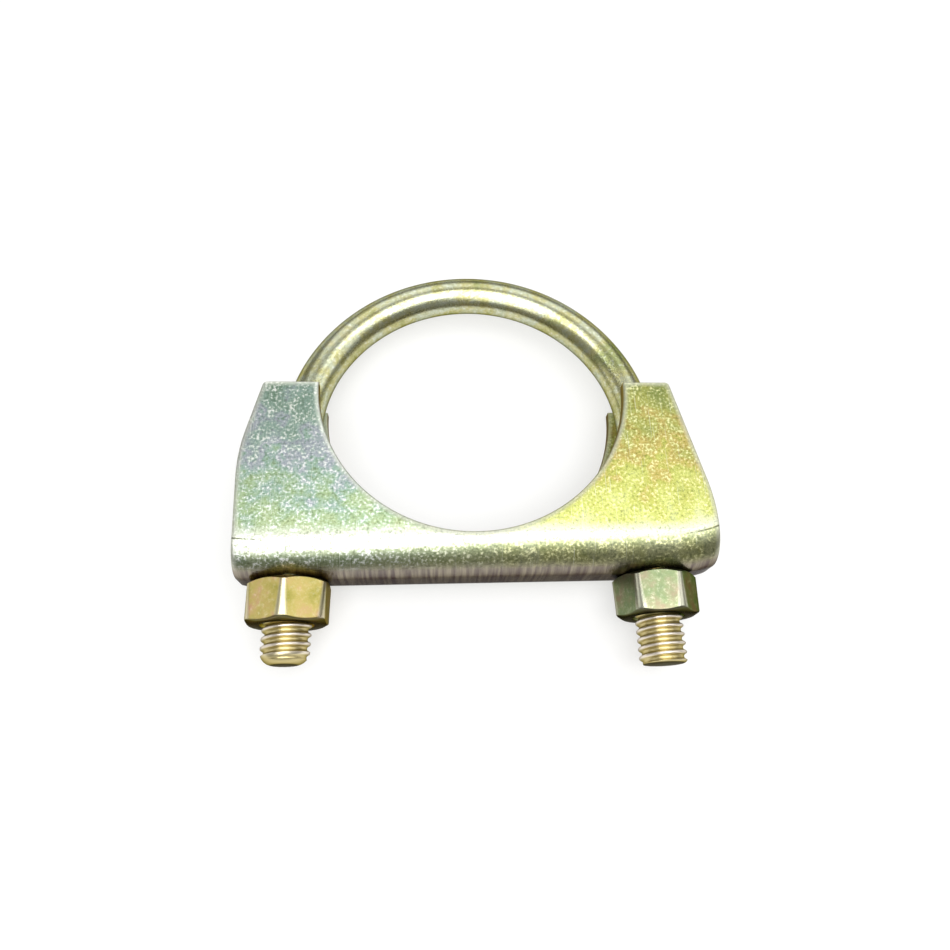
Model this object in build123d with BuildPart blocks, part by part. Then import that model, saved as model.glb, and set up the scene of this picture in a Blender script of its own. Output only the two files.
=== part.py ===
from build123d import *
from math import cos, radians, tan
import os

# U-bolt clamp for an exhaust pipe, in millimetres.
# The origin is the centre of the pipe seat. +Z runs along the pipe, +Y points to the
# crown of the bolt, and the nuts are on the -Y side. The clamp lies on its rear flange.

# Pipe seat
pipe_diameter = 54.0
pipe_clearance = 0.6

# Bolt: round bar bent to a U, with rolled 5/16 inch threads, 18 to the inch
bar_diameter = 7.02
thread_diameter = 7.94
thread_length = 22.0
thread_run_out = 0.9
leg_end_chamfer = 0.7
left_leg_length = 40.2
right_leg_length = 41.6
crown_flattening = 1.2
side_bend_sweep = 30.0
bolt_drop = 6.4

# Saddle: one channel of sheet steel, sheared, pierced and pressed
sheet = 2.4
channel_width = 16.0
bend_radius = 6.0
web_height = 6.3
left_overhang = 9.2
right_overhang = 10.2
left_tab_width = 9.5
right_tab_width = 8.4
shear_angle = 13.5
tab_corner_radius = 0.8
shear_blend_radius = 30.0
rolled_edge = 0.4
left_turn_up = 3.6
right_turn_up = 9.2
turn_up_bend_radius = 8.5
turn_up_from_leg = 2.5
leg_hole_clearance = 0.4

# Nuts
across_flats = 12.7
nut_height = 6.85
nut_chamfer_angle = 30.0
nut_chamfer_diameter = 12.1
nut_bore_clearance = 0.05
nut_mouth_chamfer = 0.5
left_nut_turned = 0.0
right_nut_turned = 38.0

# Places that follow from the sizes above
seat_radius = (pipe_diameter + pipe_clearance) / 2
leg_x = seat_radius + bar_diameter / 2
base_y = -(seat_radius + web_height)
left_end = leg_x + left_overhang
right_end = leg_x + right_overhang
flat_base_x = leg_x + turn_up_from_leg
spring_y = -bolt_drop


def channel_block(inset, past_ends):
    """Return the channel as a solid bar, its base inset by a wall and its ends run out."""
    floor_y = base_y + inset
    turn_up_radius = turn_up_bend_radius - inset
    half_width = channel_width / 2 - inset
    with BuildPart() as block:
        with BuildSketch(Plane.XY.offset(-half_width)):
            with BuildLine():
                Line((-flat_base_x, floor_y), (flat_base_x, floor_y))
                left_bend = CenterArc(
                    (-flat_base_x, floor_y + turn_up_radius), turn_up_radius, 270, -left_turn_up
                )
                right_bend = CenterArc(
                    (flat_base_x, floor_y + turn_up_radius), turn_up_radius, 270, right_turn_up
                )
                left_run = left_end + past_ends + (left_bend @ 1).X
                right_run = right_end + past_ends - (right_bend @ 1).X
                left_lift = PolarLine(
                    left_bend @ 1, left_run / cos(radians(left_turn_up)), 180 - left_turn_up
                )
                right_lift = PolarLine(
                    right_bend @ 1, right_run / cos(radians(right_turn_up)), right_turn_up
                )
                Polyline(
                    right_lift @ 1,
                    (right_end + past_ends, past_ends),
                    (-left_end - past_ends, past_ends),
                    left_lift @ 1,
                )
            make_face()
        extrude(amount=2 * half_width)
        long_edges = block.edges().filter_by(Plane.XY)
        base_edges = long_edges.filter_by(lambda edge: (edge @ 0.5).Y < floor_y + bend_radius / 2)
        fillet(base_edges, bend_radius - inset)
    return block.part


channel_bar = channel_block(0, 0)
channel_hollow = channel_block(sheet, sheet)

# Saddle
with BuildPart() as saddle:
    add(channel_bar)
    add(channel_hollow, mode=Mode.SUBTRACT)

    # Half-round pipe seat through both flanges
    Hole(radius=seat_radius)

    # Slanted shear cuts, a little off centre, which blend into the square ends,
    # and rounded outer corners on the tabs
    left_tab_x = seat_radius + left_tab_width
    right_tab_x = seat_radius + right_tab_width
    left_shear_y = -(left_end - left_tab_x) / tan(radians(shear_angle))
    right_shear_y = -(right_end - right_tab_x) / tan(radians(shear_angle))
    with BuildSketch(Plane.XY):
        with BuildLine():
            ends_and_tabs = FilletPolyline(
                (-left_end, base_y),
                (-left_end, left_shear_y),
                (-left_tab_x, 0),
                (right_tab_x, 0),
                (right_end, right_shear_y),
                (right_end, base_y),
                radius=(shear_blend_radius, tab_corner_radius, tab_corner_radius, shear_blend_radius),
            )
            Line(ends_and_tabs @ 1, ends_and_tabs @ 0)
        make_face()
    extrude(amount=channel_width, both=True, mode=Mode.INTERSECT)

    # The press rolls the cut edges over on the outside of each flange
    flange_faces = saddle.faces().filter_by(Axis.Z).group_by(Axis.Z)
    outer_edges = (flange_faces[0] + flange_faces[-1]).edges()
    left_rise = (left_end - flat_base_x) * tan(radians(left_turn_up))
    right_rise = (right_end - flat_base_x) * tan(radians(right_turn_up))
    crease_top = base_y + bend_radius + max(left_rise, right_rise)
    rolled_edges = outer_edges.filter_by(lambda edge: max((edge @ 0).Y, (edge @ 1).Y) > crease_top)
    chamfer(rolled_edges, rolled_edge)

    # Leg holes through the base
    with Locations(
        Location((-leg_x, base_y, 0), (90, 0, 0)),
        Location((leg_x, base_y, 0), (90, 0, 0)),
    ):
        Hole(radius=thread_diameter / 2 + leg_hole_clearance, depth=2 * bend_radius)
saddle.part.label = "saddle"


# U-bolt
side_radius = leg_x - crown_flattening / (1 - tan(radians(45 - side_bend_sweep / 2)))
side_centre_x = leg_x - side_radius
crown_radius = side_radius + side_centre_x / cos(radians(side_bend_sweep))
crown_centre_y = spring_y - side_centre_x * tan(radians(side_bend_sweep))
left_leg_end_y = spring_y - left_leg_length
right_leg_end_y = spring_y - right_leg_length

with BuildPart() as u_bolt:
    # Plain bar between the two threads
    with BuildLine() as bar_route:
        Line((-leg_x, left_leg_end_y + thread_length), (-leg_x, spring_y))
        CenterArc((-side_centre_x, spring_y), side_radius, 180, -side_bend_sweep)
        CenterArc(
            (0, crown_centre_y), crown_radius, 180 - side_bend_sweep, 2 * side_bend_sweep - 180
        )
        CenterArc((side_centre_x, spring_y), side_radius, side_bend_sweep, -side_bend_sweep)
        Line((leg_x, spring_y), (leg_x, right_leg_end_y + thread_length))
    with BuildSketch(Plane(origin=bar_route.line @ 0, z_dir=bar_route.line % 0)):
        Circle(bar_diameter / 2)
    sweep(path=bar_route.line)

    # Threaded stretch of each leg, as its outer diameter, with a short run-out to the bar
    for axis_x, leg_end_y in ((-leg_x, left_leg_end_y), (leg_x, right_leg_end_y)):
        run_out_y = leg_end_y + thread_length
        with BuildSketch(Plane.XY):
            with BuildLine():
                Polyline(
                    (axis_x, leg_end_y),
                    (axis_x + thread_diameter / 2 - leg_end_chamfer, leg_end_y),
                    (axis_x + thread_diameter / 2, leg_end_y + leg_end_chamfer),
                    (axis_x + thread_diameter / 2, run_out_y),
                    (axis_x + bar_diameter / 2, run_out_y + thread_run_out),
                    (axis_x, run_out_y + thread_run_out),
                    close=True,
                )
            make_face()
        revolve(axis=Axis((axis_x, 0, 0), (0, 1, 0)))
u_bolt.part.label = "u_bolt"


def hex_nut(x, turned):
    """Return a nut on the leg at x, seated on the base and turned about the leg."""
    rim_radius = nut_chamfer_diameter / 2
    corner_radius = across_flats / 2 / cos(radians(30))
    chamfer_reach = corner_radius - rim_radius
    chamfer_drop = chamfer_reach * tan(radians(nut_chamfer_angle))
    with BuildPart() as nut:
        # Turned blank with both faces chamfered
        with BuildSketch(Plane.XY):
            with BuildLine():
                Polyline(
                    (x, base_y),
                    (x + rim_radius, base_y),
                    (x + corner_radius, base_y - chamfer_drop),
                    (x + corner_radius, base_y - nut_height + chamfer_drop),
                    (x + rim_radius, base_y - nut_height),
                    (x, base_y - nut_height),
                    close=True,
                )
            make_face()
        revolve(axis=Axis((x, 0, 0), (0, 1, 0)))

        # Six flats, with a corner facing +Z before the nut is turned
        outer_face = Plane(origin=(x, base_y, 0), x_dir=(0, 0, 1), z_dir=(0, -1, 0))
        with BuildSketch(outer_face):
            RegularPolygon(across_flats / 2, 6, major_radius=False, rotation=turned)
        extrude(amount=nut_height, mode=Mode.INTERSECT)

        # Bore, at the thread's outer diameter, with a countersink at its outer mouth
        with Locations(outer_face.offset(nut_height / 2)):
            Hole(radius=thread_diameter / 2 + nut_bore_clearance)
        outer_mouth = nut.faces().sort_by(Axis.Y)[0].inner_wires()[0]
        chamfer(outer_mouth.edges(), nut_mouth_chamfer)
    return nut.part


nut_left = hex_nut(-leg_x, left_nut_turned)
nut_left.label = "nut_left"
nut_right = hex_nut(leg_x, right_nut_turned)
nut_right.label = "nut_right"

os.makedirs("parts", exist_ok=True)
for piece in (saddle.part, u_bolt.part, nut_left, nut_right):
    export_step(piece, f"parts/{piece.label}.step")
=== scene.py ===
# %% [markdown]
# # A U-bolt clamp for an exhaust pipe
# A round bar bent to a U is drawn by two nuts against a saddle pressed from sheet steel.
# Everything is plated with zinc and passivated yellow, which gives steel an olive and gold skin
# with hints of mint and pink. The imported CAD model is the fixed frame: it says where each piece
# is and how it moves. This lesson builds the pieces again with the finer shape and the finish
# that the eye expects, each in the place that the frame gives.

# %% Load the frame
import math

import bmesh
import bpy
from mathutils import Matrix, Vector


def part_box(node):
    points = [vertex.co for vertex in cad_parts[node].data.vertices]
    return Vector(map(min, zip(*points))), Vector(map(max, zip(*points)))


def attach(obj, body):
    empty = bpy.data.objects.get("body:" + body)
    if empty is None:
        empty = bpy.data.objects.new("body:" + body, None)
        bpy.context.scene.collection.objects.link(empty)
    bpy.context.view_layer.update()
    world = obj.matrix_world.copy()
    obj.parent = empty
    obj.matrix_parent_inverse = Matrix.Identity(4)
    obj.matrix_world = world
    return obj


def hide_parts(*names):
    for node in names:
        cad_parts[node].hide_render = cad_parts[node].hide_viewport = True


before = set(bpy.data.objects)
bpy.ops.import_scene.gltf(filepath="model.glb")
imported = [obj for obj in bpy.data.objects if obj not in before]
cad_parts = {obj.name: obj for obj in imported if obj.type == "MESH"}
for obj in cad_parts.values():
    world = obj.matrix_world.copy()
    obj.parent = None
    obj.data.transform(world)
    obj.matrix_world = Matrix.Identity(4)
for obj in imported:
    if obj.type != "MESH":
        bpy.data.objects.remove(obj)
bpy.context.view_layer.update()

# %% [markdown]
# ## Sizes
# A good model has few driving sizes. The places of the pieces come from the frame's boxes, such
# as how far apart the legs are. The others are the real sizes of the hardware: a 5/16 inch thread
# with 18 turns to the inch, and sheet 2.4 mm thick. Blender counts in metres, so MM turns a size
# in millimetres to metres.

# %% Sizes from the frame
MM = 0.001
bolt_low, bolt_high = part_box("u_bolt")
saddle_low, saddle_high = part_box("saddle")
nut_low, nut_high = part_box("nut_left")

THREAD_RADIUS = bolt_high.z
LEG_X = bolt_high.x - THREAD_RADIUS
BASE_Y = saddle_low.y
HALF_WIDTH = saddle_high.z
END_X = {"left": -saddle_low.x, "right": saddle_high.x}
NUT_FACE_Y = nut_low.y
print(f"legs {2 * LEG_X / MM:.2f} mm apart, thread {2 * THREAD_RADIUS / MM:.2f} mm")

# %% Sizes of the hardware
PITCH = 25.4 / 18 * MM
THREAD_ROOT_RADIUS = 3.42 * MM
THREAD_LENGTH = 22.9 * MM
BAR_RADIUS = 3.51 * MM
LEFT_LEG_SHORTER = 1.4 * MM
LEG_ENDS_Y = {"left": bolt_low.y + LEFT_LEG_SHORTER, "right": bolt_low.y}
SPRING_Y = -6.4 * MM
CROWN_FLATTENING = 1.2 * MM
SIDE_BEND = math.radians(30)

SHEET = 2.4 * MM
SEAT_RADIUS = 27.3 * MM
BEND_RADIUS = 6 * MM
LEG_HOLE_RADIUS = 4.37 * MM
TURN_UP_FROM_LEG = 2.5 * MM
FLAT_BASE_X = LEG_X + TURN_UP_FROM_LEG
TURN_UP_RADII = {"left": 56 * MM, "right": 27 * MM}
TAB_WIDTHS = {"left": 9.5 * MM, "right": 8.4 * MM}
TAB_X = {side: SEAT_RADIUS + width for side, width in TAB_WIDTHS.items()}
SHEAR_ANGLE = math.radians(13.5)
SHEAR_Y = {side: (tab_x - END_X[side]) / math.tan(SHEAR_ANGLE) for side, tab_x in TAB_X.items()}

ACROSS_FLATS = 12.7 * MM
NUT_RIM_RADIUS = 6.05 * MM
NUT_CHAMFER = math.radians(30)
NUT_TURNED = {"left": 0.0, "right": math.radians(-38)}
print(f"one turn of a nut draws the bolt by {PITCH / MM:.3f} mm")

# %% [markdown]
# ## Helpers
# A node tree is a list of nodes and links. One function adds a node, sets its settings and fills
# its inputs, so that each later line reads as one step of the recipe. Another turns the hex
# colours, which are written as a screen shows them, to the linear values that light works with.
# The rest are for meshes, which come from points and faces or from what modifiers leave. Each one
# is tidied: its doubles are merged, its faces point outwards, and it is smooth up to its sharp
# edges.

# %% Helpers
DOUBLES_APART = 0.001 * MM
SHARP_ANGLE = math.radians(35)


def result(node):
    """Return the first output of a node that is in use."""
    return next(output for output in node.outputs if output.enabled)


def add(tree, kind, inputs=(), **settings):
    """Add a node, set its settings, and set or link its inputs, given in order or by name."""
    node = tree.nodes.new(kind)
    for name, value in settings.items():
        setattr(node, name, value)
    in_use = [socket for socket in node.inputs if socket.enabled]
    by_name = inputs if isinstance(inputs, dict) else dict(enumerate(inputs))
    for key, value in by_name.items():
        socket = in_use[key] if isinstance(key, int) else node.inputs[key]
        if isinstance(value, bpy.types.Node):
            value = result(value)
        if isinstance(value, bpy.types.NodeSocket):
            tree.links.new(value, socket)
        elif value is not None:
            socket.default_value = value
    return node


def linear(hex_colour):
    """Turn an sRGB hex colour to linear RGBA."""
    parts = [int(hex_colour[i:i + 2], 16) / 255 for i in (1, 3, 5)]
    return [p / 12.92 if p <= 0.04045 else ((p + 0.055) / 1.055) ** 2.4 for p in parts] + [1.0]


def mesh_object(name, points, faces, **measures):
    """Make a smooth-shaded mesh object at the origin, and keep named measures of its points."""
    mesh = bpy.data.meshes.new(name)
    mesh.from_pydata(points, [], faces)
    for measure, values in measures.items():
        mesh.attributes.new(measure, "FLOAT", "POINT").data.foreach_set("value", values)
    tidy_mesh(mesh)
    piece = bpy.data.objects.new(name, mesh)
    bpy.context.scene.collection.objects.link(piece)
    return piece


def tidy_mesh(mesh):
    """Merge doubles, point the faces outwards and shade smooth apart from sharp edges."""
    shell = bmesh.new()
    shell.from_mesh(mesh)
    bmesh.ops.remove_doubles(shell, verts=shell.verts, dist=DOUBLES_APART)
    bmesh.ops.recalc_face_normals(shell, faces=shell.faces)
    shell.to_mesh(mesh)
    shell.free()
    mesh.shade_smooth()
    mesh.set_sharp_from_angle(angle=SHARP_ANGLE)


def plain_mesh(piece):
    """Return a piece's mesh as its modifiers leave it."""
    seen_by = bpy.context.evaluated_depsgraph_get()
    return bpy.data.meshes.new_from_object(piece.evaluated_get(seen_by), depsgraph=seen_by)


def triangle_count(mesh):
    """Return how many triangles the faces of a mesh come to."""
    return sum(len(face.vertices) - 2 for face in mesh.polygons)


# %% [markdown]
# ## The camera
# The photograph was taken from close by, above the end with the nuts, so the crown looks smaller
# than the saddle. The place and the turn of the camera come from fitting the outline of the real
# object, and the shift puts the object where the picture has it.

# %% Camera
CAMERA_PLACE = Vector((-7.778, -62.537, 132.855)) * MM
CAMERA_RIGHT = Vector((0.996328, -0.035808, 0.077777))
CAMERA_BACK = Vector((-0.085605, -0.435452, 0.896132))

camera_data = bpy.data.cameras.new("camera")
camera_data.sensor_width = 36
camera_data.lens = 29.553
camera_data.shift_x = -0.0230
camera_data.shift_y = -0.0883
camera_data.clip_start = 1 * MM
camera = bpy.data.objects.new("camera", camera_data)
camera_axes = Matrix((CAMERA_RIGHT, CAMERA_BACK.cross(CAMERA_RIGHT), CAMERA_BACK)).transposed()
camera.matrix_world = Matrix.Translation(CAMERA_PLACE) @ camera_axes.to_4x4()
bpy.context.scene.collection.objects.link(camera)
bpy.context.scene.camera = camera
print("the camera is", round(camera.location.length / MM), "mm from the pipe's centre")

# %% [markdown]
# ## The floor
# The clamp can't stand on its leg ends, so it lies on its rear flange. The floor is white. Where
# the camera or a reflection looks at it, about half of that white is its own glow, so the shadow
# that the lamps draw under the object stays soft and pale.

# %% Floor
FLOOR_REACH = 1.2
FLOOR_GLOW = 0.55
FLOOR_PAINT = 0.45

floor = mesh_object(
    "floor",
    [(x * FLOOR_REACH, y * FLOOR_REACH, -HALF_WIDTH)
     for x, y in ((-1, -1), (1, -1), (1, 1), (-1, 1))],
    [(0, 1, 2, 3)],
)
paper = bpy.data.materials.new("white_studio_paper")
paper.use_nodes = True
tree = paper.node_tree
tree.nodes.clear()
ray = add(tree, "ShaderNodeLightPath")
seen = add(tree, "ShaderNodeMath", [ray.outputs["Is Camera Ray"], ray.outputs["Is Glossy Ray"]],
           operation="MAXIMUM")
seen = add(tree, "ShaderNodeMath", [seen, ray.outputs["Is Transmission Ray"]], operation="MAXIMUM")
glow = add(tree, "ShaderNodeMath", [seen, FLOOR_GLOW], operation="MULTIPLY")
glow = add(tree, "ShaderNodeEmission", {"Color": (1, 1, 1, 1), "Strength": glow})
matt = add(tree, "ShaderNodeBsdfDiffuse", {"Color": (FLOOR_PAINT, FLOOR_PAINT, FLOOR_PAINT, 1)})
both = add(tree, "ShaderNodeAddShader", [matt, glow])
add(tree, "ShaderNodeOutputMaterial", [both])
floor.data.materials.append(paper)
print("the floor lies at z =", round(-HALF_WIDTH / MM, 2), "mm")

# %% [markdown]
# ## The light
# Metal shows what is around it, so the soft boxes are placed by their reflections. The brightest
# hangs overhead: the bend of the saddle shows it as a white band, which the sheet's colour also
# paints pale, and the bar as a streak. It ends where the flat flanges would mirror it, so they keep
# their colours and take only its glow. A second one at the front left makes the left part of the
# band wider. The others are about as bright as paper or dimmer: one behind lights the outside of the
# bar, and one on each side the flats of the nuts. The room stays dim, which gives the dark zone round
# the bend, together with painted shade in the sheet's colour. A lamp's brightness is how bright it
# looks, where 1 is the white of paper. An area lamp looks that bright at 4 watts a square metre.

# %% Lamps and room
WATTS_FOR_WHITE = 4


def soft_box(name, place, size, brightness):
    """Hang a rectangular lamp that faces the pipe's centre."""
    data = bpy.data.lights.new(name, "AREA")
    data.shape = "RECTANGLE"
    data.size, data.size_y = size
    data.energy = WATTS_FOR_WHITE * brightness * size[0] * size[1]
    lamp = bpy.data.objects.new(name, data)
    lamp.location = place
    lamp.rotation_euler = Vector(place).to_track_quat("Z", "Y").to_euler()
    bpy.context.scene.collection.objects.link(lamp)
    print(name, "looks", brightness, "times as bright as white paper")


soft_box("overhead_soft_box", (0.02, -0.09, 0.5), (0.5, 0.38), 2.9)
soft_box("front_left_soft_box", (-0.12, -0.4, 0.44), (0.32, 0.26), 1.7)
soft_box("rear_soft_box", (0.05, 0.43, 0.39), (0.8, 0.36), 0.95)
soft_box("left_soft_box", (-0.6, 0.05, 0.24), (0.3, 0.3), 0.75)
soft_box("right_soft_box", (0.5, 0.05, 0.4), (0.4, 0.3), 1.05)

world = bpy.data.worlds.new("dim_room")
world.use_nodes = True
world.node_tree.nodes["Background"].inputs["Color"].default_value = linear("#8a8a86")
bpy.context.scene.world = world
bpy.context.scene.view_settings.view_transform = "Standard"

# %% [markdown]
# ## Yellow passivated zinc
# The parts are plated with bright zinc and dipped in a chromate bath. The film it leaves is thin
# enough to split light, so it wanders from olive to gold, green and pink over a few millimetres.
# Under it are the fine crystals of the zinc: their relief is a bump, and their sparkle is painted as
# glints. Where the eye meets the film at a flat angle the light runs a long way through it, and it
# looks dark: that is the metal's Specular Tint.
# Four functions hold what the three finishes share, and each piece then has its own recipe.

# %% What the platings share
def with_stops(ramp, stops):
    """Give a colour ramp its stops, as (position, hex colour)."""
    elements = ramp.color_ramp.elements
    elements[0].position = stops[0][0]
    elements[1].position = stops[-1][0]
    for position, _ in stops[1:-1]:
        elements.new(position)
    for element, (_, colour) in zip(elements, stops):
        element.color = linear(colour)
    return ramp


def noise(tree, place, size, detail, roughness=0.5):
    """Add noise whose patches are about this size."""
    return add(tree, "ShaderNodeTexNoise", {"Vector": place, "Scale": 1 / size, "Detail": detail,
                                            "Roughness": roughness})


def mixed(tree, share, below, above, **settings):
    """Add a mix of two colours, where the share says how much of the one above shows."""
    return add(tree, "ShaderNodeMix", [share, below, above], data_type="RGBA", **settings)


def plated(name, recipe, crystal_depth, edge_tint):
    """Make a plated metal from a recipe, which adds nodes and returns colour, gloss and relief."""
    material = bpy.data.materials.new(name)
    material.use_nodes = True
    tree = material.node_tree
    place = add(tree, "ShaderNodeTexCoord").outputs["Object"]
    colour, roughness, crystals = recipe(tree, place)
    shader = tree.nodes["Principled BSDF"]
    relief = add(tree, "ShaderNodeBump", {"Height": crystals, "Distance": crystal_depth})
    shader.inputs["Metallic"].default_value = 1
    shader.inputs["Specular Tint"].default_value = linear(edge_tint)
    tree.links.new(result(colour), shader.inputs["Base Color"])
    tree.links.new(result(roughness), shader.inputs["Roughness"])
    tree.links.new(result(relief), shader.inputs["Normal"])
    print(name, "takes", len(tree.nodes), "nodes")
    return material


# %% [markdown]
# The crystals of the pressed sheet stand out most. Their glints are painted white, in clumps, over
# cool green, grey and lilac on the left and over lime and gold on the right. Real crystals are too
# fine to show in the picture, so they are drawn about half a millimetre across. The film is darker
# towards the tabs. The dies changed the sheet in several places, and two measures kept on its mesh
# find them: how far a point is from the cut edge, and how far it is past the crease where the bend
# starts. A painted highlight makes the rolled rim paler, and the wall of the cut is tan. Down the
# bend, from the crease, the sheet is painted pale where the overhead lamp's band lies, and that
# pale ends sooner on the right. Below it painted shade makes the skin grey, and it is speckled.
# Where the nuts seat it is smoother, and painted shade makes it dark brown, with fine drag lines.
# The crease is a thin broken line of painted shade. A few scratches cross the flanges.

# %% Finish of the pressed sheet
def sheet_recipe(tree, place):
    """Add the nodes of the sheet's finish."""
    spread = add(tree, "ShaderNodeSeparateXYZ", [place]).outputs
    from_edge = add(tree, "ShaderNodeAttribute", attribute_name="from_edge").outputs["Fac"]
    past_crease = add(tree, "ShaderNodeAttribute", attribute_name="past_crease").outputs["Fac"]
    clouds = noise(tree, place, 4 * MM, 5, 0.65)
    clumps = noise(tree, place, 2 * MM, 2)
    crystals = noise(tree, place, 0.5 * MM, 3, 0.75)
    # The film is darker towards the tabs and paler towards the base.
    film = add(tree, "ShaderNodeMapRange", [spread["Y"], -30 * MM, 0, -0.2, 0.3])
    film = add(tree, "ShaderNodeMath", [film, clouds], operation="ADD")
    cool = with_stops(add(tree, "ShaderNodeValToRGB", [film]), [
        (0.2, "#bcc99c"), (0.38, "#a6bd94"), (0.5, "#98b3a4"), (0.58, "#a4a9b4"),
        (0.68, "#8ea69a"), (0.85, "#748f7a")])
    warm = with_stops(add(tree, "ShaderNodeValToRGB", [film]), [
        (0.2, "#d8dba6"), (0.38, "#c5ca74"), (0.5, "#b9ba62"), (0.58, "#bdaa64"),
        (0.68, "#a8aa5e"), (0.85, "#869052")])
    side = add(tree, "ShaderNodeMath", [clouds, 40 * MM, spread["X"]], operation="MULTIPLY_ADD")
    side = add(tree, "ShaderNodeMapRange", [side, 5 * MM, 32 * MM, 0, 1])
    colour = mixed(tree, side, cool, warm)

    # Painted highlight and painted shade down the bend: pale at the crease, then grey and olive.
    sooner = add(tree, "ShaderNodeMapRange", [spread["X"], -40 * MM, 38 * MM, -0.1, 0.15])
    down_the_bend = add(tree, "ShaderNodeMath", [past_crease, 1 / (10 * MM), sooner],
                        operation="MULTIPLY_ADD")
    skin = with_stops(add(tree, "ShaderNodeValToRGB", [down_the_bend]), [
        (0.16, "#e6e8dc"), (0.25, "#9ba28a"), (0.33, "#6c7262"), (0.5, "#75745a")])
    # The share of the painted bend highlight and shade, from just before the crease.
    pressed = add(tree, "ShaderNodeMapRange", [past_crease, -1.8 * MM, 0, 0, 0.72])
    colour = mixed(tree, pressed, colour, skin)

    sparkle = add(tree, "ShaderNodeMath", [clumps, 0.35, crystals], operation="MULTIPLY_ADD")
    dull = add(tree, "ShaderNodeMapRange", [sparkle, 0.5, 0.64, 0.6, 0])
    colour = mixed(tree, dull, colour, linear("#7d8872"), blend_type="MULTIPLY")
    # Painted glints: white specks where the crystals clump.
    painted_glint = add(tree, "ShaderNodeMapRange", [sparkle, 0.71, 0.82, 0, 0.85])
    # Where the nuts seat: no painted glints, painted shade, and a smoother gloss.
    nut_seat_zone = add(tree, "ShaderNodeMapRange", [past_crease, 4.8 * MM, 6.6 * MM, 0, 1])
    painted_glint = add(tree, "ShaderNodeMath", [painted_glint, add(tree, "ShaderNodeMath", [1, nut_seat_zone],
                                                    operation="SUBTRACT")], operation="MULTIPLY")
    white = mixed(tree, side, linear("#f6f8f4"), linear("#f0efb8"))
    colour = mixed(tree, painted_glint, colour, white)

    scored = add(tree, "ShaderNodeMapping", {"Vector": place, "Rotation": (0, 0, math.radians(20)),
                                             "Scale": (1 / (0.12 * MM), 1 / (9 * MM), 0)})
    scored = add(tree, "ShaderNodeTexNoise", {"Vector": scored, "Scale": 1, "Detail": 1})
    scored = add(tree, "ShaderNodeMapRange", [scored, 0.67, 0.73, 0, 0.6])
    colour = mixed(tree, scored, colour, linear("#e4e6da"))

    # Painted highlight along the rolled rim.
    rim_highlight = add(tree, "ShaderNodeMapRange", [from_edge, 0.25 * MM, 1 * MM, 0.6, 0])
    rim_highlight_colour = mixed(tree, side, linear("#f0f2e6"), linear("#dedfcc"))
    colour = mixed(tree, rim_highlight, colour, rim_highlight_colour)

    # Painted shade where the nuts seat: dark brown, with fine drag lines.
    long_and_thin = (1 / (0.5 * MM), 1 / (9 * MM), 1 / (9 * MM))
    drawn_out = add(tree, "ShaderNodeVectorMath", [place, long_and_thin], operation="MULTIPLY")
    shaded_drag_lines = add(tree, "ShaderNodeTexNoise", {"Vector": drawn_out, "Scale": 1, "Detail": 2})
    shaded_drag_lines = with_stops(add(tree, "ShaderNodeValToRGB", [shaded_drag_lines]), [
        (0.35, "#a2978a"), (0.5, "#8a7f78"), (0.65, "#75686a")])
    seat_shade_and_drag = add(tree, "ShaderNodeMath", [nut_seat_zone, 0.85], operation="MULTIPLY")
    colour = mixed(tree, seat_shade_and_drag, colour, shaded_drag_lines)

    # Painted shade: a thin broken dark line along the crease.
    near_crease = add(tree, "ShaderNodeMath", [past_crease, 0.7 * MM], operation="SUBTRACT")
    near_crease = add(tree, "ShaderNodeMath", [near_crease], operation="ABSOLUTE")
    near_crease = add(tree, "ShaderNodeMapRange", [near_crease, 0.06 * MM, 0.2 * MM, 1, 0])
    outward = add(tree, "ShaderNodeMath", [spread["X"]], operation="ABSOLUTE")
    outward = add(tree, "ShaderNodeMapRange", [outward, 33 * MM, 39 * MM, 0, 0.25])
    broken = add(tree, "ShaderNodeMath", [outward, crystals], operation="ADD")
    broken = add(tree, "ShaderNodeMapRange", [broken, 0.58, 0.7, 0, 0.85])
    line = add(tree, "ShaderNodeMath", [near_crease, broken], operation="MULTIPLY")
    colour = mixed(tree, line, colour, linear("#4d5030"))

    wall = add(tree, "ShaderNodeMapRange", [from_edge, 0.01 * MM, 0.04 * MM, 1, 0])
    colour = mixed(tree, wall, colour, linear("#9a8a58"))
    matt = add(tree, "ShaderNodeMapRange", [crystals, 0.3, 0.7, 0.46, 0.3])
    gloss = add(tree, "ShaderNodeMix", [nut_seat_zone, matt, 0.2])
    return colour, gloss, crystals


sheet_zinc = plated("yellow_zinc_on_pressed_sheet", sheet_recipe, 0.06 * MM, "#7f7e80")

# %% [markdown]
# The bar was drawn smooth, so its crystals are shallower and its reflections sharper. These
# crystals too are drawn coarser than real ones, about 0.7 mm across, with painted glints. The film
# is olive with gold and silver patches a few millimetres long. On the threads a painted highlight
# makes the crests pale over the golden grooves, and the distance from a leg's axis tells them
# apart. The threads are duller than the bar, and the ends, where it was sheared to length, are dark.

# %% Finish of the drawn bar
def from_leg_axis(tree, spread):
    """Add the distance of a point from the axis of the nearer leg."""
    off_axis = add(tree, "ShaderNodeMath", [spread["X"]], operation="ABSOLUTE")
    off_axis = add(tree, "ShaderNodeMath", [off_axis, LEG_X], operation="SUBTRACT")
    across = add(tree, "ShaderNodeCombineXYZ", [off_axis, 0, spread["Z"]])
    return add(tree, "ShaderNodeVectorMath", [across], operation="LENGTH").outputs["Value"]


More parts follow.
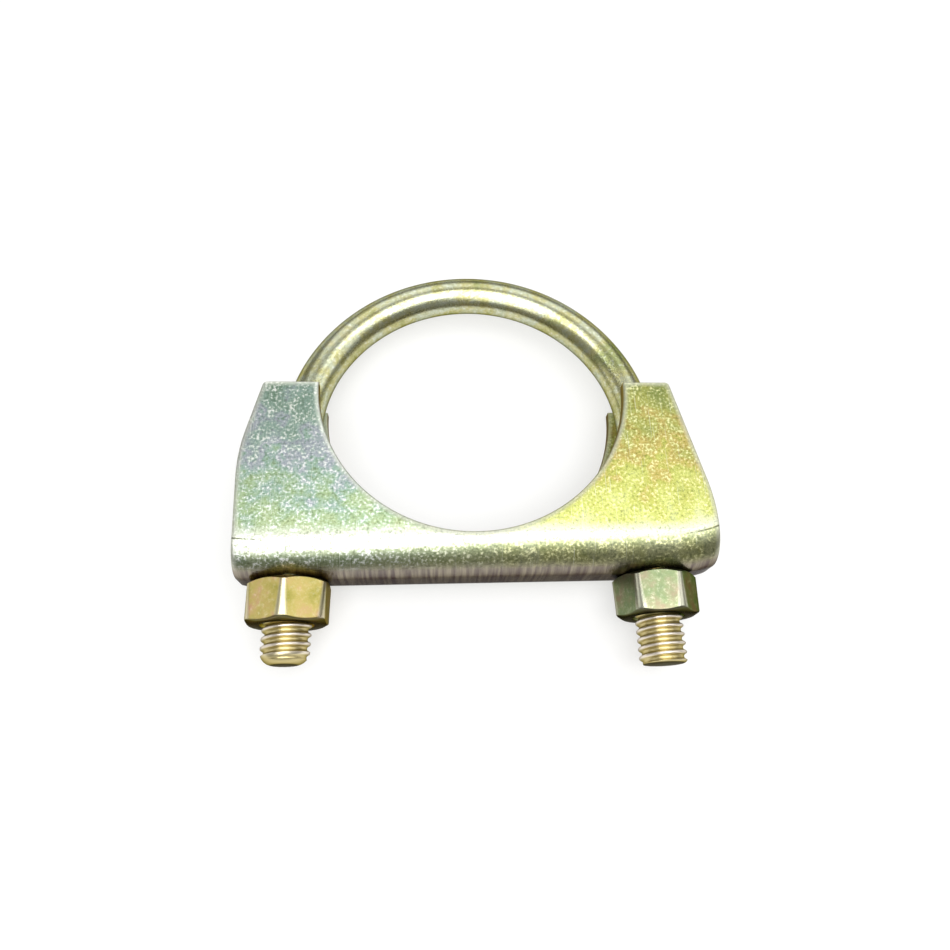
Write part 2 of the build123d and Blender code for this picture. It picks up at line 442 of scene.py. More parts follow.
def bar_recipe(tree, place):
    """Add the nodes of the bar's finish."""
    spread = add(tree, "ShaderNodeSeparateXYZ", [place]).outputs
    clouds = noise(tree, place, 6 * MM, 4, 0.55)
    crystals = noise(tree, place, 0.7 * MM, 5, 0.8)
    colour = with_stops(add(tree, "ShaderNodeValToRGB", [clouds]), [
        (0.3, "#a0a872"), (0.45, "#c4c08a"), (0.55, "#c4cab0"), (0.7, "#d2cc98")])
    dull = add(tree, "ShaderNodeMapRange", [crystals, 0.36, 0.5, 0.45, 0])
    colour = mixed(tree, dull, colour, linear("#8c8a58"))
    # Painted glints: pale specks on the crystals.
    painted_glint = add(tree, "ShaderNodeMapRange", [crystals, 0.52, 0.66, 0, 0.5])
    colour = mixed(tree, painted_glint, colour, linear("#eef0ea"))

    # Painted highlight: the thread crests paler than the golden grooves.
    reach = from_leg_axis(tree, spread)
    crest = add(tree, "ShaderNodeMapRange", [reach, THREAD_ROOT_RADIUS, THREAD_RADIUS, 0, 1])
    thread_crest_highlight = with_stops(add(tree, "ShaderNodeValToRGB", [crest]), [
        (0.1, "#cfc08c"), (0.5, "#dccf9e"), (0.75, "#eadfc2"), (0.95, "#f2e8dc")])
    thread_top = LEG_ENDS_Y["left"] + THREAD_LENGTH
    on_thread = add(tree, "ShaderNodeMapRange", [spread["Y"], thread_top - PITCH, thread_top, 1, 0])
    colour = mixed(tree, on_thread, colour, thread_crest_highlight)
    end_y = add(tree, "ShaderNodeMapRange", [spread["X"], -1 * MM, 1 * MM,
                                             LEG_ENDS_Y["left"], LEG_ENDS_Y["right"]])
    from_end = add(tree, "ShaderNodeMath", [spread["Y"], end_y], operation="SUBTRACT")
    sheared = add(tree, "ShaderNodeMapRange", [from_end, 0.02 * MM, 0.1 * MM, 0.85, 0])
    colour = mixed(tree, sheared, colour, linear("#5c594a"))
    gloss = add(tree, "ShaderNodeMapRange", [crystals, 0.3, 0.7, 0.31, 0.19])
    gloss = add(tree, "ShaderNodeMix", [on_thread, gloss, 0.34])
    return colour, gloss, crystals


bar_zinc = plated("yellow_zinc_on_drawn_bar", bar_recipe, 0.03 * MM, "#6e6c54")

# %% [markdown]
# The nuts were cold formed and tumbled, so their corners are round, and a painted highlight makes
# them bright. The left nut is golden with pink patches. The right one took a thicker film, a dark
# green with brown in it. The cone and the flat of their outer faces were turned, and painted shade
# makes them dark. The crystals are drawn as wide as the bar's, and shallower, with painted glints.

# %% Finish of the nuts
def nut_recipe(tree, place):
    """Add the nodes of the nuts' finish."""
    spread = add(tree, "ShaderNodeSeparateXYZ", [place]).outputs
    clouds = noise(tree, place, 3 * MM, 5, 0.6)
    crystals = noise(tree, place, 0.7 * MM, 5, 0.8)
    golden = with_stops(add(tree, "ShaderNodeValToRGB", [clouds]), [
        (0.3, "#a8a152"), (0.45, "#c0b268"), (0.55, "#c9b672"), (0.7, "#cfa486")])
    green = with_stops(add(tree, "ShaderNodeValToRGB", [clouds]), [
        (0.3, "#707e60"), (0.45, "#7c8864"), (0.55, "#86886a"), (0.7, "#8c7c68")])
    side = add(tree, "ShaderNodeMapRange", [spread["X"], -1 * MM, 1 * MM, 0, 1])
    colour = mixed(tree, side, golden, green)
    # Painted glints: pale specks on the crystals.
    painted_glint = add(tree, "ShaderNodeMapRange", [crystals, 0.52, 0.68, 0, 0.25])
    colour = mixed(tree, painted_glint, colour, linear("#f2eed8"))

    # Painted highlight on the rounded corners, wider towards the outer face.
    reach = from_leg_axis(tree, spread)
    wider = add(tree, "ShaderNodeMapRange", [spread["Y"], NUT_FACE_Y, BASE_Y, 0.3 * MM, 0])
    corner = add(tree, "ShaderNodeMath", [reach, wider], operation="ADD")
    corner = add(tree, "ShaderNodeMapRange", [corner, 7.04 * MM, 7.2 * MM, 0, 0.5])
    colour = mixed(tree, corner, colour, linear("#f2efde"))
    # Painted shade on the cone and the flat of the outer face.
    past_rim = add(tree, "ShaderNodeMath", [reach, NUT_RIM_RADIUS], operation="SUBTRACT")
    past_rim = add(tree, "ShaderNodeMath", [past_rim, 0], operation="MAXIMUM")
    cone = add(tree, "ShaderNodeMath", [past_rim, math.tan(NUT_CHAMFER), NUT_FACE_Y],
               operation="MULTIPLY_ADD")
    above = add(tree, "ShaderNodeMath", [spread["Y"], cone], operation="SUBTRACT")
    turned = add(tree, "ShaderNodeMapRange", [above, 0.02 * MM, 0.12 * MM, 0.85, 0])
    colour = mixed(tree, turned, colour, linear("#55523e"))
    gloss = add(tree, "ShaderNodeMapRange", [crystals, 0.3, 0.7, 0.36, 0.26])
    return colour, gloss, crystals


nut_zinc = plated("yellow_zinc_on_cold_formed_nuts", nut_recipe, 0.01 * MM, "#6a6448")

# %% [markdown]
# ## A thread by rule
# A rolled thread is one groove wound round the rod, with a narrow crest between its turns. A grid
# becomes such a thread when it is rolled to a tube and slid along the rod by one pitch per turn:
# its rows then follow the helix, and the last column meets the first one a pitch further on. Rows
# that would stand past an end are pressed flat onto it. The same nodes serve the legs and the
# bores of the nuts, so the bolt and the nuts mesh.

# %% Nodes for a thread
ROWS_PER_PITCH = 16
SPARE_ROWS = 2 * ROWS_PER_PITCH + 3
RUN_IN = PITCH * (1 + 1 / ROWS_PER_PITCH)
THREAD_COLUMNS = 96
CREST_SHARE = 0.05
ROOT_SHARE = 0.4
WELD = 0.002 * MM


def new_tree(name, sizes):
    """Start a Geometry Nodes tree with named sizes, a material and a way in and out."""
    tree = bpy.data.node_groups.new(name, "GeometryNodeTree")
    tree.interface.new_socket("Geometry", in_out="INPUT", socket_type="NodeSocketGeometry")
    tree.interface.new_socket("Geometry", in_out="OUTPUT", socket_type="NodeSocketGeometry")
    for size, value in sizes.items():
        socket = tree.interface.new_socket(size, in_out="INPUT", socket_type="NodeSocketFloat")
        socket.default_value = value
    tree.interface.new_socket("Material", in_out="INPUT", socket_type="NodeSocketMaterial")
    return tree, add(tree, "NodeGroupInput").outputs


def helical_grid(tree, low_y, high_y):
    """Add a grid whose rows follow the helix. Return it with its turn, height and row number."""
    turns = add(tree, "ShaderNodeMath", [add(tree, "ShaderNodeMath", [high_y, low_y],
                                             operation="SUBTRACT"), PITCH], operation="DIVIDE")
    rows = add(tree, "ShaderNodeMath", [turns, ROWS_PER_PITCH, SPARE_ROWS], operation="MULTIPLY_ADD")
    rows = add(tree, "ShaderNodeMath", [rows], operation="CEIL")
    grid = add(tree, "GeometryNodeMeshGrid", [1, 1, THREAD_COLUMNS + 1, rows])
    spread = add(tree, "ShaderNodeSeparateXYZ", [add(tree, "GeometryNodeInputPosition")]).outputs
    turn = add(tree, "ShaderNodeMath", [spread["X"], 0.5], operation="ADD")
    last_row = add(tree, "ShaderNodeMath", [rows, 1], operation="SUBTRACT")
    row = add(tree, "ShaderNodeMath", [add(tree, "ShaderNodeMath", [spread["Y"], 0.5],
                                           operation="ADD"), last_row], operation="MULTIPLY")
    row = add(tree, "ShaderNodeMath", [row], operation="ROUND")
    climb = add(tree, "ShaderNodeMath", [row, 1 / ROWS_PER_PITCH, turn], operation="MULTIPLY_ADD")
    start = add(tree, "ShaderNodeMath", [low_y, RUN_IN], operation="SUBTRACT")
    height = add(tree, "ShaderNodeMath", [climb, PITCH, start], operation="MULTIPLY_ADD")
    height = add(tree, "ShaderNodeClamp", [height, low_y, high_y])
    return grid, turn, height, row


def groove(tree, turn, height, crest, root):
    """Add the radius of a right-hand groove, rounded at crest and root, at each turn and height."""
    wound = add(tree, "ShaderNodeMath", [height, 1 / PITCH], operation="MULTIPLY")
    wound = add(tree, "ShaderNodeMath", [wound, turn], operation="SUBTRACT")
    depth = add(tree, "ShaderNodeMath", [wound, 0.5], operation="PINGPONG")
    return add(tree, "ShaderNodeMapRange", [depth, CREST_SHARE, ROOT_SHARE, crest, root],
               interpolation_type="SMOOTHSTEP")


def rolled_up(tree, grid, turn, height, radius, axis_x):
    """Roll the grid to a tube round an axis along Y and weld its seam."""
    angle = add(tree, "ShaderNodeMath", [turn, math.tau], operation="MULTIPLY")
    sine = add(tree, "ShaderNodeMath", [angle], operation="SINE")
    cosine = add(tree, "ShaderNodeMath", [angle], operation="COSINE")
    x = add(tree, "ShaderNodeMath", [radius, sine, axis_x], operation="MULTIPLY_ADD")
    z = add(tree, "ShaderNodeMath", [radius, cosine], operation="MULTIPLY")
    place = add(tree, "ShaderNodeCombineXYZ", [x, height, z])
    tube = add(tree, "GeometryNodeSetPosition", {"Geometry": grid, "Position": place})
    return add(tree, "GeometryNodeMergeByDistance", {"Geometry": tube, "Distance": WELD})


def ending(tree, shape, given):
    """End a tree the way the export needs: real geometry with its material set."""
    real = add(tree, "GeometryNodeRealizeInstances", [shape])
    smooth = add(tree, "GeometryNodeSetShadeSmooth", {"Geometry": real})
    done = add(tree, "GeometryNodeSetMaterial", {"Geometry": smooth, "Material": given["Material"]})
    add(tree, "NodeGroupOutput", [done])


def grown(piece, tree, sizes, material):
    """Give a piece a tree with these sizes and turn the result to a plain mesh."""
    modifier = piece.modifiers.new(tree.name, "NODES")
    modifier.node_group = tree
    sockets = {item.name: item.identifier for item in tree.interface.items_tree
               if item.in_out == "INPUT"}
    for size, value in sizes.items():
        modifier[sockets[size]] = value
    modifier[sockets["Material"]] = material
    mesh = plain_mesh(piece)
    name = piece.name
    bpy.data.objects.remove(piece)
    mesh.name = name
    tidy_mesh(mesh)
    finished = bpy.data.objects.new(name, mesh)
    bpy.context.scene.collection.objects.link(finished)
    print(name, "has", triangle_count(mesh), "triangles")
    return finished


# %% [markdown]
# ## The U-bolt
# The real one is a length of drawn bar whose ends went through thread rolls before it was bent.
# Its middle line is a Bezier curve with a point where each straight or arc ends, and one at the
# crown. The tree sweeps a circle along it and grows a thread on each leg. The bar and the threads
# have equally many points round them, so they weld to one closed skin.

# %% Tree for the U-bolt
ROUTE_STEP = 0.8 * MM

bolt_tree, given = new_tree("threaded_u_bolt", {
    "Leg X": 0.03, "Left End": -0.05, "Right End": -0.05, "Thread Length": 0.02,
    "Left Rounding": 0.001, "Right Rounding": 0.001,
})


def threaded_leg(tree, given, side, axis_x):
    """Add one leg's thread, with a rounded end, a closing face and a run-out to the bar."""
    low_y = given[f"{side} End"]
    high_y = add(tree, "ShaderNodeMath", [low_y, given["Thread Length"]], operation="ADD").outputs[0]
    grid, turn, height, row = helical_grid(tree, low_y, high_y)
    radius = groove(tree, turn, height, THREAD_RADIUS, THREAD_ROOT_RADIUS)
    to_bar = add(tree, "ShaderNodeMath", [high_y, height], operation="SUBTRACT")
    full = add(tree, "ShaderNodeMapRange", [to_bar, 0, PITCH, 0, 1], interpolation_type="SMOOTHSTEP")
    radius = add(tree, "ShaderNodeMix", [full, BAR_RADIUS, radius])
    rounding = given[f"{side} Rounding"]
    to_full = add(tree, "ShaderNodeMath", [add(tree, "ShaderNodeMath", [low_y, rounding],
                                               operation="ADD"), height], operation="SUBTRACT")
    to_full = add(tree, "ShaderNodeMath", [add(tree, "ShaderNodeMath", [to_full, rounding],
                                               operation="DIVIDE"), 0], operation="MAXIMUM")
    swing = add(tree, "ShaderNodeMath", [to_full], operation="ARCSINE")
    bulge = add(tree, "ShaderNodeMath", [swing], operation="COSINE")
    end_radius = add(tree, "ShaderNodeMath", [THREAD_RADIUS, rounding], operation="SUBTRACT")
    dome = add(tree, "ShaderNodeMath", [bulge, rounding, end_radius], operation="MULTIPLY_ADD")
    radius = add(tree, "ShaderNodeMath", [radius, dome], operation="MINIMUM")
    past_middle = add(tree, "ShaderNodeMath", [row, 0.5], operation="GREATER_THAN")
    radius = add(tree, "ShaderNodeMath", [radius, past_middle], operation="MULTIPLY")
    return rolled_up(tree, grid, turn, height, radius, axis_x)


route = add(bolt_tree, "GeometryNodeResampleCurve",
            {"Curve": given["Geometry"], "Length": ROUTE_STEP}, mode="LENGTH")
section = add(bolt_tree, "GeometryNodeCurvePrimitiveCircle", {"Resolution": THREAD_COLUMNS,
                                                             "Radius": BAR_RADIUS})
bar = add(bolt_tree, "GeometryNodeCurveToMesh", {"Curve": route, "Profile Curve": section})
left_x = add(bolt_tree, "ShaderNodeMath", [given["Leg X"], -1], operation="MULTIPLY")
left_leg = threaded_leg(bolt_tree, given, "Left", left_x)
right_leg = threaded_leg(bolt_tree, given, "Right", given["Leg X"])
joined = add(bolt_tree, "GeometryNodeJoinGeometry")
for stretch in (bar, left_leg, right_leg):
    bolt_tree.links.new(stretch.outputs[0], joined.inputs[0])
welded = add(bolt_tree, "GeometryNodeMergeByDistance", {"Geometry": joined, "Distance": WELD})
ending(bolt_tree, welded, given)
print(bolt_tree.name, "takes", len(bolt_tree.nodes), "nodes")

# %% The route of the bar
STRAIGHT_REACH = 1 * MM

side_radius = LEG_X - CROWN_FLATTENING / (1 - math.tan(math.radians(45) - SIDE_BEND / 2))
side_centre = Vector((LEG_X - side_radius, SPRING_Y))
crown_radius = side_radius + side_centre.x / math.cos(SIDE_BEND)
crown_centre = Vector((0, SPRING_Y - side_centre.x * math.tan(SIDE_BEND)))


def on_arc(centre, radius, angle):
    """Return a point of an arc and its direction of travel, clockwise."""
    out = Vector((math.cos(angle), math.sin(angle)))
    return centre + radius * out, Vector((out.y, -out.x))


def bezier_reach(radius, sweep):
    """Return the handle length with which a Bezier stretch follows an arc."""
    return 4 / 3 * math.tan(sweep / 4) * radius


left_centre = Vector((-side_centre.x, side_centre.y))
half_crown = math.pi / 2 - SIDE_BEND
side_reach = bezier_reach(side_radius, SIDE_BEND)
crown_reach = bezier_reach(crown_radius, half_crown)
up, down = Vector((0, 1)), Vector((0, -1))
left_top = Vector((-LEG_X, LEG_ENDS_Y["left"] + THREAD_LENGTH))
right_top = Vector((LEG_X, LEG_ENDS_Y["right"] + THREAD_LENGTH))
stations = [
    (left_top, up, 0, STRAIGHT_REACH),
    (*on_arc(left_centre, side_radius, math.pi), STRAIGHT_REACH, side_reach),
    (*on_arc(crown_centre, crown_radius, math.pi - SIDE_BEND), side_reach, crown_reach),
    (*on_arc(crown_centre, crown_radius, math.pi / 2), crown_reach, crown_reach),
    (*on_arc(crown_centre, crown_radius, SIDE_BEND), crown_reach, side_reach),
    (*on_arc(side_centre, side_radius, 0), side_reach, STRAIGHT_REACH),
    (right_top, down, STRAIGHT_REACH, 0),
]
route_data = bpy.data.curves.new("bar_route", "CURVE")
route_data.dimensions = "3D"
route_data.resolution_u = 64
spline = route_data.splines.new("BEZIER")
spline.bezier_points.add(len(stations) - 1)
for point, (place, direction, before, after) in zip(spline.bezier_points, stations):
    point.co = place.to_3d()
    point.handle_left = (place - before * direction).to_3d()
    point.handle_right = (place + after * direction).to_3d()
print("the bar between the threads is", round(spline.calc_length() / MM, 1), "mm long")

# %% Grow the U-bolt
u_bolt = bpy.data.objects.new("u_bolt_threaded", route_data)
bpy.context.scene.collection.objects.link(u_bolt)
u_bolt = grown(u_bolt, bolt_tree, {
    "Leg X": LEG_X,
    "Left End": LEG_ENDS_Y["left"],
    "Right End": LEG_ENDS_Y["right"],
    "Thread Length": THREAD_LENGTH,
    "Left Rounding": 2.2 * MM,
    "Right Rounding": 0.8 * MM,
}, bar_zinc)
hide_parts("u_bolt")
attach(u_bolt, "u_bolt")

# %% [markdown]
# ## The nuts
# A cold-formed nut is a hexagon whose two faces are turned to a cone, which leaves an arc at the
# top and foot of each flat. In polar form that is one rule: at every angle the flat is as far out
# as a rounded hexagon, and the face drops with the cone once it is outside the rim. Spanners have
# rounded the corners more towards the outer face, so the rounding grows on the way there. The bore
# is the thread of the legs, a little wider, with a countersink at each mouth.

# %% Tree for the bore
BORE_MOUTH_RADIUS = 4.45 * MM
BORE_CREST_GAP = 0.06 * MM
BORE_ROOT_GAP = 0.2 * MM

bore_tree, given = new_tree("threaded_bore", {"Axis X": 0.03, "Low Y": -0.04, "High Y": -0.03})
grid, turn, height, _ = helical_grid(bore_tree, given["Low Y"], given["High Y"])
radius = groove(bore_tree, turn, height,
                THREAD_RADIUS + BORE_CREST_GAP, THREAD_ROOT_RADIUS + BORE_ROOT_GAP)
from_low = add(bore_tree, "ShaderNodeMath", [height, given["Low Y"]], operation="SUBTRACT")
from_high = add(bore_tree, "ShaderNodeMath", [given["High Y"], height], operation="SUBTRACT")
inside = add(bore_tree, "ShaderNodeMath", [from_low, from_high], operation="MINIMUM")
sink = add(bore_tree, "ShaderNodeMath", [BORE_MOUTH_RADIUS, inside], operation="SUBTRACT")
radius = add(bore_tree, "ShaderNodeMath", [radius, sink], operation="MAXIMUM")
bore = rolled_up(bore_tree, grid, turn, height, radius, given["Axis X"])
joined = add(bore_tree, "GeometryNodeJoinGeometry")
for shape in (given["Geometry"], bore.outputs[0]):
    bore_tree.links.new(shape, joined.inputs[0])
welded = add(bore_tree, "GeometryNodeMergeByDistance", {"Geometry": joined, "Distance": WELD})
ending(bore_tree, welded, given)
print(bore_tree.name, "takes", len(bore_tree.nodes), "nodes")

# %% Nut blank
SEAT_CORNER_ROUNDING = 0.9 * MM
OUTER_CORNER_ROUNDING = 2.0 * MM
EDGE_ROUNDING = 0.35 * MM


def hexagon_radius(angle, rounding):
    """Return how far out a rounded hexagon is, with a corner at angle 0."""
    apothem = ACROSS_FLATS / 2
    from_corner = abs((angle + math.pi / 6) % (math.pi / 3) - math.pi / 6)
    corner_centre = (apothem - rounding) / math.cos(math.pi / 6)
    touch = Vector((corner_centre + rounding * math.cos(math.pi / 6), rounding / 2))
    if from_corner > math.atan2(touch.y, touch.x):
        return apothem / math.cos(math.pi / 6 - from_corner)
    across = corner_centre * math.sin(from_corner)
    return corner_centre * math.cos(from_corner) + math.sqrt(rounding**2 - across**2)


def nut_profile(angle):
    """Return a nut's profile at an angle from a corner: (radius, height from its outer face)."""
    height = BASE_Y - NUT_FACE_Y
    outer = hexagon_radius(angle, OUTER_CORNER_ROUNDING)
    inner = hexagon_radius(angle, SEAT_CORNER_ROUNDING)
    slope = math.tan(NUT_CHAMFER)
    profile = [(BORE_MOUTH_RADIUS, 0), (NUT_RIM_RADIUS, 0)]
    edge_turn = math.pi / 2 - NUT_CHAMFER
    edge_y = (outer - NUT_RIM_RADIUS) * slope + EDGE_ROUNDING * math.tan(edge_turn / 2)
    for share in (1, 0.75, 0.5, 0.25, 0):
        swing = edge_turn * share
        profile.append((outer - EDGE_ROUNDING * (1 - math.cos(swing)),
                        edge_y - EDGE_ROUNDING * math.sin(swing)))
    seat_y = height - (inner - NUT_RIM_RADIUS) * slope
    for share in (0.25, 0.5, 0.75, 1):
        profile.append((outer + (inner - outer) * share, edge_y + (seat_y - edge_y) * share))
    return profile + [(NUT_RIM_RADIUS, height), (BORE_MOUTH_RADIUS, height)]


def nut_blank(name, axis_x, turned):
    """Make the outside of a nut, open at its bore, between the saddle's base and NUT_FACE_Y."""
    columns = THREAD_COLUMNS
    points = []
    for i in range(columns):
        angle = math.tau * i / columns
        for radius, y in nut_profile(angle - turned):
            points.append((axis_x + radius * math.sin(angle), NUT_FACE_Y + y,
                           radius * math.cos(angle)))
    rings = len(points) // columns
    faces = [
        (i * rings + k, i * rings + k + 1, (i + 1) % columns * rings + k + 1,
         (i + 1) % columns * rings + k)
        for i in range(columns) for k in range(rings - 1)
    ]
    return mesh_object(name, points, faces)


for side, axis_x in (("left", -LEG_X), ("right", LEG_X)):
    nut = nut_blank(f"nut_{side}_threaded", axis_x, NUT_TURNED[side])
    nut = grown(nut, bore_tree, {"Axis X": axis_x, "Low Y": NUT_FACE_Y, "High Y": BASE_Y}, nut_zinc)
    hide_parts(f"nut_{side}")
    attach(nut, f"nut_{side}")

# %% [markdown]
# ## The saddle
# A blank is sheared and pierced flat, then pressed to a channel. Three things show that: the
# sheet is equally thick round the bends, the base turns up a little at its ends, and the outer
# cut edges are rolled over by the punch. Booleans would lose the rolled edge where the pipe seat
# runs out into the bend, so both skins of the sheet are grids. Each flange is a fan of rays from
# the pipe seat, and the rays that end on the bend go on over the base to the other flange.

# %% Outline of a flange
ROLL_WIDTH = 1.0 * MM
SEAT_ROLL_DEPTH = 0.4 * MM
END_ROLL_DEPTH = 0.15 * MM
TAB_CORNER_RADIUS = 0.8 * MM
SHEAR_BLEND_RADIUS = 30 * MM
CORNER_STEPS = 8
FOOT_DRAWN_IN = 0.7 * MM
FOOT_X = {"left": END_X["left"] - FOOT_DRAWN_IN, "right": END_X["right"]}
CREASE_Y = BASE_Y + BEND_RADIUS
ROUNDING_ERROR = 1e-9


def base_height(x, inset):
    """Return the height of the base's skin at x, inset towards the inside of the channel."""
    for reach, radius in ((-x - FLAT_BASE_X, TURN_UP_RADII["left"]),
                          (x - FLAT_BASE_X, TURN_UP_RADII["right"])):
        if reach > 0:
            return BASE_Y + radius - math.sqrt((radius - inset) ** 2 - reach**2)
    return BASE_Y + inset


def rounded_corner(before, corner, after, radius):
    """Return points along an arc that rounds a corner."""
    to_before = (before - corner).normalized()
    to_after = (after - corner).normalized()
    half = to_before.angle(to_after) / 2
    centre = corner + (to_before + to_after).normalized() * radius / math.sin(half)
    start = corner + to_before * radius / math.tan(half) - centre
    sweep = start.angle_signed(corner + to_after * radius / math.tan(half) - centre)
    arc = []
    for i in range(CORNER_STEPS + 1):
        turn = sweep * i / CORNER_STEPS
        arc.append(centre + Vector((start.x * math.cos(turn) + start.y * math.sin(turn),
                                    start.y * math.cos(turn) - start.x * math.sin(turn))))
    return arc


def end_outline(side):
    """Return the cut edge of one end, from the tab's top down to the bend."""
    out = -1 if side == "left" else 1
    top = Vector((out * SEAT_RADIUS, 0))
    tab = Vector((out * TAB_X[side], 0))
    shear = Vector((out * END_X[side], SHEAR_Y[side]))
    foot_x = out * FOOT_X[side]
    foot = Vector((foot_x, base_height(foot_x, BEND_RADIUS)))
    return (rounded_corner(top, tab, shear, TAB_CORNER_RADIUS)
            + rounded_corner(tab, shear, foot, SHEAR_BLEND_RADIUS) + [foot])


def spaced(line, gaps):
    """Return points along a line of points, at the given distances from its start."""
    found = []
    for gap in gaps:
        remaining = gap
        for a, b in zip(line, line[1:]):
            length = (b - a).length
            if remaining <= length + ROUNDING_ERROR:
                break
            remaining -= length
        found.append(a.lerp(b, min(1, remaining / length)))
    return found


def stations_to(total, fine, step):
    """Return distances from 0 to total, close together near 0 and then about step apart."""
    count = max(1, round((total - fine[-1]) / step))
    return fine + [fine[-1] + (total - fine[-1]) * (i + 1) / count for i in range(count)]


# %% Rays of a flange
NEAR_EDGE = [share * ROLL_WIDTH for share in (0, 0.04, 0.12, 0.25, 0.42, 0.62, 0.85, 1.1)]
END_RAY_STEP = 1.2 * MM
CREASE_RAY_STEP = 0.9 * MM

outlines = {side: end_outline(side) for side in ("left", "right")}
ray_ends = {}
for side, line in outlines.items():
    length = sum((b - a).length for a, b in zip(line, line[1:]))
    ray_ends[side] = spaced(line, stations_to(length, NEAR_EDGE, END_RAY_STEP))
left_steps, right_steps = (stations_to(FOOT_X[side], NEAR_EDGE, CREASE_RAY_STEP) for side in outlines)
crease_x = [step - FOOT_X["left"] for step in left_steps]
crease_x += [FOOT_X["right"] - step for step in reversed(right_steps[:-1])]
ends = (ray_ends["left"][:-1]
        + [Vector((x, base_height(x, BEND_RADIUS))) for x in crease_x]
        + ray_ends["right"][-2::-1])
first_bend_ray = len(ray_ends["left"]) - 1
print(len(ends), "rays on each flange,", len(crease_x), "of them cross the base")

# %% Skin of the saddle
FLANGE_ROWS = 24
BEND_STEPS = 16
BASE_STEPS = 4


def ray_rows(length):
    """Return FLANGE_ROWS + 1 distances along a ray, close together near both of its ends."""
    fine = [gap * min(1, length / (3 * ROLL_WIDTH)) for gap in NEAR_EDGE]
    between = FLANGE_ROWS + 1 - 2 * len(fine)
    step = (length - 2 * fine[-1]) / (between + 1)
    return (fine + [fine[-1] + step * (k + 1) for k in range(between)]
            + [length - gap for gap in reversed(fine)])


def edge_gaps(x, y):
    """Return the distances of a point of the flange to the seat and to the cut ends."""
    gaps = []
    line = outlines["left" if x < 0 else "right"]
    for a, b in zip(line, line[1:]):
        along = max(0.0, min(1.0, (Vector((x, y)) - a).dot(b - a) / (b - a).length_squared))
        gaps.append((Vector((x, y)) - a.lerp(b, along)).length)
    if abs(x) < abs(line[0].x):
        gaps.append(max(0.0, -y))
    return max(0.0, math.hypot(x, y) - SEAT_RADIUS), min(gaps)


def roll(seat_gap, end_gap):
    """Return how far the press rolled the skin down at these distances from the cut edges."""
    drop = 0.0
    for gap, depth in ((seat_gap, SEAT_ROLL_DEPTH), (end_gap, END_ROLL_DEPTH)):
        if gap < ROLL_WIDTH:
            drop = max(drop, depth * (1 - math.sqrt(1 - (1 - gap / ROLL_WIDTH) ** 2)))
    return drop


def saddle_points(inset, rolled):
    """Return one skin's points by ray and row, with their distances from edge and past crease."""
    points = {}
    for ray, end in enumerate(ends):
        start = end.normalized() * SEAT_RADIUS
        for row, gap in enumerate(ray_rows((end - start).length)):
            place = start + (end - start).normalized() * gap
            gaps = edge_gaps(*place)
            drop = roll(*gaps) if rolled else 0
            point = Vector((place.x, place.y, HALF_WIDTH - inset - drop))
            points[ray, row, 1] = point, min(gaps), base_height(place.x, BEND_RADIUS) - place.y
    for j, x in enumerate(crease_x):
        for step in range(1, BEND_STEPS + 1):
            angle = math.pi / 2 * step / BEND_STEPS
            bend = BEND_RADIUS - inset
            gaps = (max(0.0, math.hypot(x, CREASE_Y - BEND_RADIUS * angle) - SEAT_RADIUS),
                    max(0.0, min(x + FOOT_X["left"], FOOT_X["right"] - x)))
            drop = roll(*gaps) if rolled else 0
            point = Vector((x, base_height(x, BEND_RADIUS - (bend - drop) * math.sin(angle)),
                            HALF_WIDTH - BEND_RADIUS + (bend - drop) * math.cos(angle)))
            points[first_bend_ray + j, FLANGE_ROWS + step, 1] = point, min(gaps), BEND_RADIUS * angle
    for (ray, row, _), (point, distance, past) in list(points.items()):
        points[ray, row, -1] = Vector((point.x, point.y, -point.z)), distance, past
    last = FLANGE_ROWS + BEND_STEPS
    for ray in range(first_bend_ray, first_bend_ray + len(crease_x)):
        (near, distance, past), (far, _, _) = points[ray, last, 1], points[ray, last, -1]
        for step in range(1, BASE_STEPS):
            points[ray, last + step, 1] = near.lerp(far, step / BASE_STEPS), distance, past
    return points


def rows_of(ray):
    """Return the keys of a ray's points, from the front seat edge to the back one or its end."""
    front = [(ray, row, 1) for row in range(FLANGE_ROWS + 1)]
    if first_bend_ray <= ray < first_bend_ray + len(crease_x):
        last = FLANGE_ROWS + BEND_STEPS
        over = [(ray, row, 1) for row in range(FLANGE_ROWS + 1, last + BASE_STEPS)]
        back = [(ray, row, -1) for row in range(last, -1, -1)]
        return [front + over + back]
    return [front, [(r, row, -1) for r, row, _ in front]]


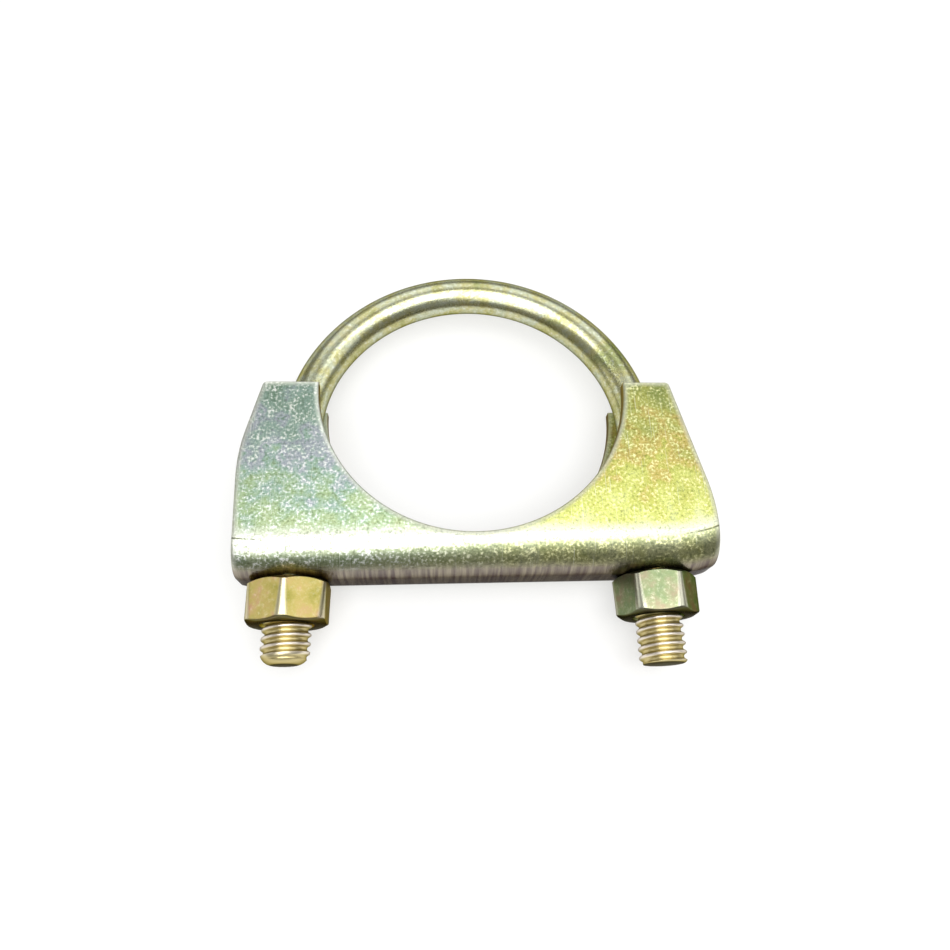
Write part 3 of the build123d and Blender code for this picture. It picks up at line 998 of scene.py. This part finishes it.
def saddle_mesh():
    """Return the saddle's points, with their measures, and faces: two skins and the cut walls."""
    keys, points, faces = {}, [], []
    for skin, (inset, rolled) in enumerate(((0, True), (SHEET, False))):
        for key, measured_point in saddle_points(inset, rolled).items():
            keys[skin, key] = len(points)
            points.append(measured_point)
    for skin in (0, 1):
        for ray in range(len(ends) - 1):
            here, there = rows_of(ray), rows_of(ray + 1)
            if len(here) != len(there):
                whole = min(here, there, key=len)[0]
                count = FLANGE_ROWS + 1
                cut = [whole[:count], whole[:-count - 1:-1]]
                here = cut if len(here) == 1 else here
                there = cut if len(there) == 1 else there
            for strip, beside in zip(here, there):
                for a, b, c, d in zip(strip, strip[1:], beside[1:], beside):
                    faces.append([keys[skin, k] for k in (a, b, c, d)])
    edges = {}
    for face in faces:
        for a, b in zip(face, face[1:] + face[:1]):
            edges[min(a, b), max(a, b)] = edges.get((min(a, b), max(a, b)), 0) + 1
    second_skin = len(points) // 2
    for (a, b), uses in edges.items():
        if uses == 1 and b < second_skin:
            faces.append([a, b, b + second_skin, a + second_skin])
    return points, faces


measured_points, faces = saddle_mesh()
points, from_edge, past_crease = zip(*measured_points)
saddle = mesh_object("saddle_pressed", points, faces, from_edge=from_edge, past_crease=past_crease)
print("the saddle's skin has", len(saddle.data.polygons), "faces")

# %% [markdown]
# The leg holes were pierced through the base. A boolean cut makes them, because they cross the
# grid's lines, and they mostly hide behind the nuts.

# %% Leg holes
def plug(axis_x):
    """Make a closed cylinder through the base at one leg."""
    steps = 64
    rings = [
        [(axis_x + LEG_HOLE_RADIUS * math.cos(math.tau * i / steps), BASE_Y + y,
          LEG_HOLE_RADIUS * math.sin(math.tau * i / steps)) for i in range(steps)]
        for y in (-BEND_RADIUS, BEND_RADIUS)
    ]
    sides = [(i, (i + 1) % steps, steps + (i + 1) % steps, steps + i) for i in range(steps)]
    caps = [tuple(range(steps)), tuple(range(2 * steps - 1, steps - 1, -1))]
    return mesh_object("leg_hole_plug", rings[0] + rings[1], sides + caps)


for axis_x in (-LEG_X, LEG_X):
    cutter = plug(axis_x)
    cut = saddle.modifiers.new("leg_hole", "BOOLEAN")
    cut.object = cutter
    cut.solver = "EXACT"
    mesh = plain_mesh(saddle)
    saddle.modifiers.clear()
    saddle.data = mesh
    bpy.data.objects.remove(cutter)
tidy_mesh(saddle.data)
saddle.data.materials.clear()
saddle.data.materials.append(sheet_zinc)
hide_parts("saddle")
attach(saddle, "saddle")
print("the saddle has", triangle_count(saddle.data), "triangles")
